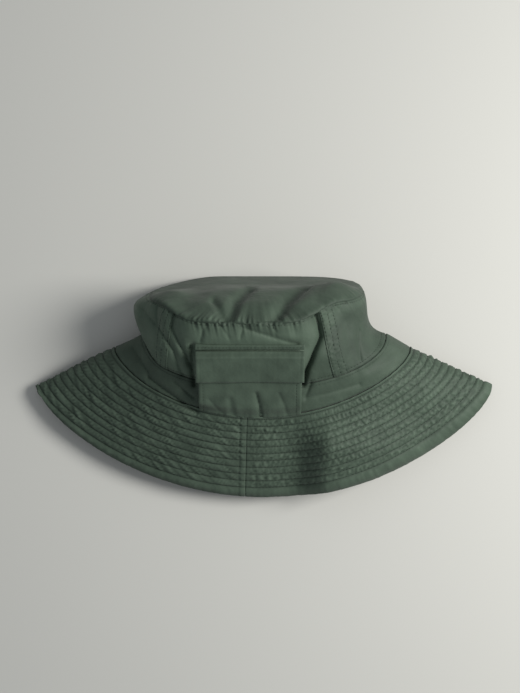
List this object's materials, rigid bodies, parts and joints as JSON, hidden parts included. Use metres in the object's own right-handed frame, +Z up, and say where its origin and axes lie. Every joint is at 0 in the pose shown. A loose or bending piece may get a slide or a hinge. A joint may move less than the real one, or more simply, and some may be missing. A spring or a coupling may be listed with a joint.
{
  "type": "boonie hat",
  "caption": "Quilted-brim boonie hat lying on its back, brim folded flat in two layers, with a cargo pocket under a hinged flap on the crown.",
  "frame": {"origin": "on the ground under the middle of the hat as it lies on its back", "axes": "+X to the hat's right-hand brim corner as seen from above, +Y towards the crown tip, +Z up from the ground"},
  "size_m": [0.396, 0.1924, 0.1061],
  "materials": {
    "shell_cloth": "olive nylon plain weave with a slight sheen",
    "under_cloth": "olive plain weave, matte",
    "interlining": "unbleached stiff non-woven",
    "binding_tape": "olive ribbed tape",
    "label_cloth": "blank black satin",
    "thread": "olive polyester thread",
    "hook_tape": "olive nylon hooks",
    "loop_tape": "olive nylon loops"
  },
  "bodies": {
    "hat": {"back_crown_panel": "shell_cloth", "back_left_seam_strip": "shell_cloth", "back_right_seam_strip": "shell_cloth", "band_seam_binding": "binding_tape", "band_seam_thread": "thread", "brim_interlining_left": "interlining", "brim_interlining_right": "interlining", "brim_quilting_thread": "thread", "brim_top_left": "shell_cloth", "brim_top_right": "shell_cloth", "brim_under_left": "under_cloth", "brim_under_right": "under_cloth", "crown_tip": "shell_cloth", "flap_seam_edge": "shell_cloth", "front_crown_panel": "shell_cloth", "front_left_seam_strip": "shell_cloth", "front_right_seam_strip": "shell_cloth", "left_crown_panel": "shell_cloth", "lower_band_left": "shell_cloth", "lower_band_right": "shell_cloth", "pocket_front": "shell_cloth", "pocket_gusset": "shell_cloth", "pocket_loop_strip": "loop_tape", "pocket_mouth_hem": "shell_cloth", "right_crown_panel": "shell_cloth", "size_label": "label_cloth", "sweatband": "under_cloth", "tip_seam_binding": "binding_tape", "tip_seam_thread": "thread"},
    "flap": {"flap_shell": "shell_cloth", "flap_lining": "under_cloth", "flap_hook_strip": "hook_tape"}
  },
  "joints": [
    {"name": "pocket_flap", "type": "hinge", "parent": "hat", "child": "flap", "pos_m": [-0.01267, 0.03062, 0.09361], "axis": [-1, 0, 0], "range_deg": [0, 120]}
  ]
}
